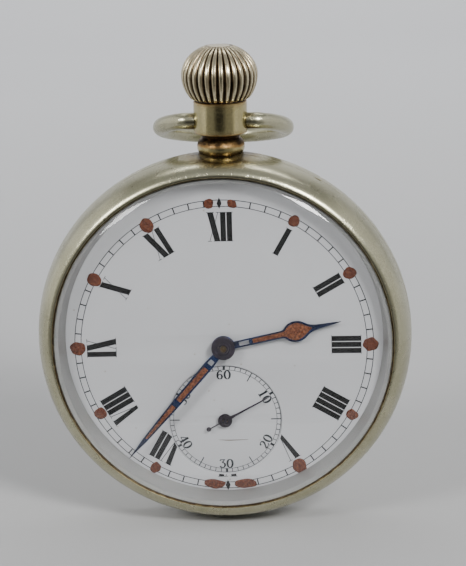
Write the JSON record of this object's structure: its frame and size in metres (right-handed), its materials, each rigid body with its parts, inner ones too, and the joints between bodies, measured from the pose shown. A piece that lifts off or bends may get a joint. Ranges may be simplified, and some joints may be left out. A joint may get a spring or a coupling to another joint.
{
  "type": "open face pocket watch",
  "caption": "Open face pocket watch with pendant, bow and fluted crown, enamel dial with sub-seconds, glazed bezel, hinged back and lever movement.",
  "frame": {"origin": "centre of the flat outer face of the back cover", "axes": "+Z towards 12 o'clock and the crown, +X towards 3 o'clock, +Y out of the back; the dial faces -Y"},
  "size_m": [0.0514, 0.0231, 0.066],
  "materials": {
    "nickel_silver": "worn satin nickel silver with yellow-brown tarnish in the corners",
    "crystal_glass": "clear mineral glass, chipped at its lower edge",
    "enamel": "white fired enamel with printed black numerals",
    "blued_steel": "heat-blued polished steel",
    "gilt_brass": "gilt brass",
    "steel": "polished steel",
    "nickel_plate": "nickelled brass with a fine grain"
  },
  "bodies": {
    "case": {"case_middle": "nickel_silver", "hinge_pin": "steel", "pendant": "nickel_silver", "pendant_sleeve": "steel", "case_screw_1": "steel", "case_screw_2": "steel", "dial": "enamel", "seconds_dial": "enamel", "main_plate": "gilt_brass", "barrel_bridge": "nickel_plate", "train_bridge": "nickel_plate", "balance_cock": "nickel_plate", "pallet_bridge": "nickel_plate", "barrel_bridge_screw_1": "steel", "barrel_bridge_screw_2": "steel", "barrel_bridge_screw_3": "steel", "train_bridge_screw_1": "steel", "train_bridge_screw_2": "steel", "balance_cock_screw": "steel", "click_spring": "blued_steel", "click_screw": "steel", "crown_wheel_screw": "steel"},
    "bezel": {"bezel": "nickel_silver", "crystal": "crystal_glass"},
    "back_cover": {"back_cover": "nickel_silver"},
    "bow": {"bow": "nickel_silver"},
    "winding_pinion": {"winding_pinion": "steel"},
    "crown": {"crown": "nickel_silver", "winding_stem": "steel"},
    "crown_wheel": {"crown_wheel": "steel"},
    "barrel_arbor": {"ratchet_wheel": "steel", "ratchet_screw": "steel", "barrel_arbor": "steel"},
    "click": {"click": "steel"},
    "barrel": {"barrel_drum": "gilt_brass", "barrel_cover": "gilt_brass", "mainspring": "blued_steel"},
    "centre_wheel": {"centre_wheel": "gilt_brass", "centre_arbor": "steel"},
    "third_wheel": {"third_wheel": "gilt_brass", "third_pinion": "steel"},
    "fourth_wheel": {"fourth_wheel": "gilt_brass", "fourth_arbor": "steel", "seconds_hand": "blued_steel"},
    "escape_wheel": {"escape_wheel": "steel", "escape_pinion": "steel"},
    "pallet_fork": {"pallet_fork": "steel", "pallet_arbor": "steel"},
    "balance": {"balance_wheel": "gilt_brass", "balance_staff": "steel", "hairspring": "blued_steel"},
    "regulator": {"regulator": "steel"},
    "minute_hand": {"minute_hand": "blued_steel", "cannon_pinion": "steel"},
    "minute_wheel": {"minute_wheel": "gilt_brass"},
    "hour_hand": {"hour_hand": "blued_steel", "hour_wheel": "gilt_brass"}
  },
  "joints": [
    {"name": "bezel_lift", "type": "slide", "parent": "case", "child": "bezel", "axis": [0, -1, 0], "range_m": [0, 0.02]},
    {"name": "back_cover_hinge", "type": "hinge", "parent": "case", "child": "back_cover", "pos_m": [0, -0.0046, -0.0253], "axis": [-1, 0, 0], "range_deg": [0, 100]},
    {"name": "bow_swing", "type": "hinge", "parent": "case", "child": "bow", "pos_m": [0, -0.0059, 0.02975], "axis": [1, 0, 0], "range_deg": [-35, 237]},
    {"name": "crown_turn", "type": "hinge", "parent": "case", "child": "winding_pinion", "pos_m": [0, -0.0059, 0.0138], "axis": [0, 0, -1], "continuous": true},
    {"name": "crown_pull", "type": "slide", "parent": "winding_pinion", "child": "crown", "axis": [0, 0, 1], "range_m": [0, 0.001]},
    {"name": "crown_wheel_turn", "type": "hinge", "parent": "case", "child": "crown_wheel", "pos_m": [0, -0.00175, 0.01142], "axis": [0, 1, 0], "continuous": true},
    {"name": "ratchet_turn", "type": "hinge", "parent": "case", "child": "barrel_arbor", "pos_m": [-0.0066, -0.00175, 0.0053], "axis": [0, 1, 0], "continuous": true},
    {"name": "click_lift", "type": "hinge", "parent": "case", "child": "click", "pos_m": [-0.0102, -0.00175, 0.01154], "axis": [0, -1, 0], "range_deg": [0, 10], "stiffness_Nm_per_rad": 0.00002},
    {"name": "barrel_turn", "type": "hinge", "parent": "case", "child": "barrel", "pos_m": [-0.0066, -0.005, 0.0053], "axis": [0, 1, 0], "continuous": true, "deforming": ["mainspring"]},
    {"name": "centre_turn", "type": "hinge", "parent": "case", "child": "centre_wheel", "pos_m": [0, -0.0036, -0.0008], "axis": [0, 1, 0], "continuous": true},
    {"name": "third_turn", "type": "hinge", "parent": "case", "child": "third_wheel", "pos_m": [0.00386, -0.0053, -0.00688], "axis": [0, 1, 0], "continuous": true},
    {"name": "seconds_turn", "type": "hinge", "parent": "case", "child": "fourth_wheel", "pos_m": [0, -0.0044, -0.0114], "axis": [0, 1, 0], "continuous": true},
    {"name": "escape_turn", "type": "hinge", "parent": "case", "child": "escape_wheel", "pos_m": [-0.00411, -0.00485, -0.00883], "axis": [0, 1, 0], "continuous": true},
    {"name": "pallet_rock", "type": "hinge", "parent": "case", "child": "pallet_fork", "pos_m": [-0.00786, -0.00485, -0.00865], "axis": [0, 1, 0], "range_deg": [-5, 5]},
    {"name": "balance_swing", "type": "hinge", "parent": "case", "child": "balance", "pos_m": [-0.013, -0.00325, -0.0084], "axis": [0, 1, 0], "range_deg": [-270, 270], "deforming": ["hairspring"]},
    {"name": "regulator_shift", "type": "hinge", "parent": "case", "child": "regulator", "pos_m": [-0.013, -0.0015, -0.0084], "axis": [0, 1, 0], "range_deg": [-15, 15]},
    {"name": "minute_hand_turn", "type": "hinge", "parent": "case", "child": "minute_hand", "pos_m": [0, -0.01045, -0.0008], "axis": [0, 1, 0], "continuous": true},
    {"name": "minute_wheel_turn", "type": "hinge", "parent": "case", "child": "minute_wheel", "pos_m": [0.0018, -0.00765, 0.00232], "axis": [0, 1, 0], "continuous": true},
    {"name": "hour_hand_turn", "type": "hinge", "parent": "case", "child": "hour_hand", "pos_m": [0, -0.00995, -0.0008], "axis": [0, 1, 0], "continuous": true}
  ],
  "couplings": [
    {"joint": "crown_wheel_turn", "follows": "crown_turn", "ratio": 0.5},
    {"joint": "ratchet_turn", "follows": "crown_turn", "ratio": -0.33333},
    {"joint": "escape_turn", "follows": "seconds_turn", "ratio": -10},
    {"joint": "third_turn", "follows": "seconds_turn", "ratio": -0.13333},
    {"joint": "centre_turn", "follows": "seconds_turn", "ratio": 0.016667},
    {"joint": "barrel_turn", "follows": "seconds_turn", "ratio": -0.0020833},
    {"joint": "minute_wheel_turn", "follows": "minute_hand_turn", "ratio": -0.33333},
    {"joint": "hour_hand_turn", "follows": "minute_hand_turn", "ratio": 0.083333}
  ]
}
